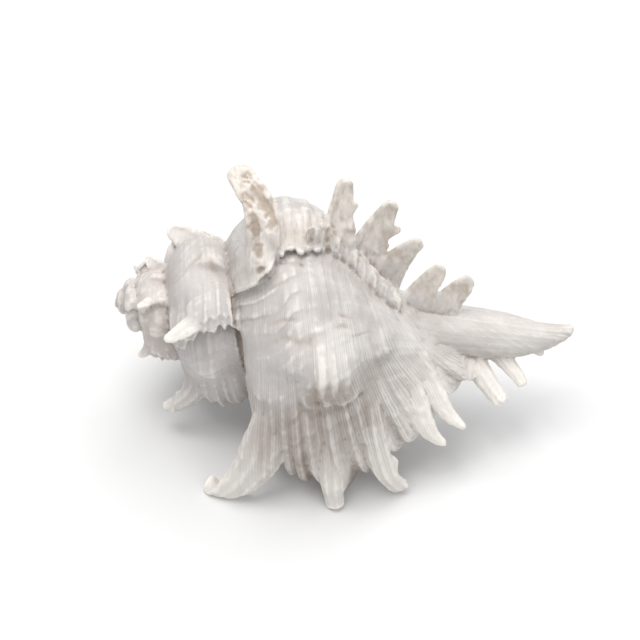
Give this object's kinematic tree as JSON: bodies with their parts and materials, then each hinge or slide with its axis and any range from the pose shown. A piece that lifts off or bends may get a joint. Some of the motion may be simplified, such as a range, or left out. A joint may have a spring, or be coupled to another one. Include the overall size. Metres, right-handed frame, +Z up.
{
  "type": "murex sea shell",
  "caption": "Bleached murex shell with a stepped spire, spiny varices, a blunt knob and a long siphonal canal, lying aperture down on its spines.",
  "frame": {"origin": "on the floor, under the middle of the shell's bounding box", "axes": "+X runs along the shell from the apex to the tip of the siphonal canal, +Y is towards the spines beyond the inner lip, +Z is up with the aperture facing the floor"},
  "size_m": [0.178, 0.1152, 0.1139],
  "materials": {
    "shell": "matte"
  },
  "bodies": {
    "root": {"murex_shell": "shell"}
  },
  "joints": []
}
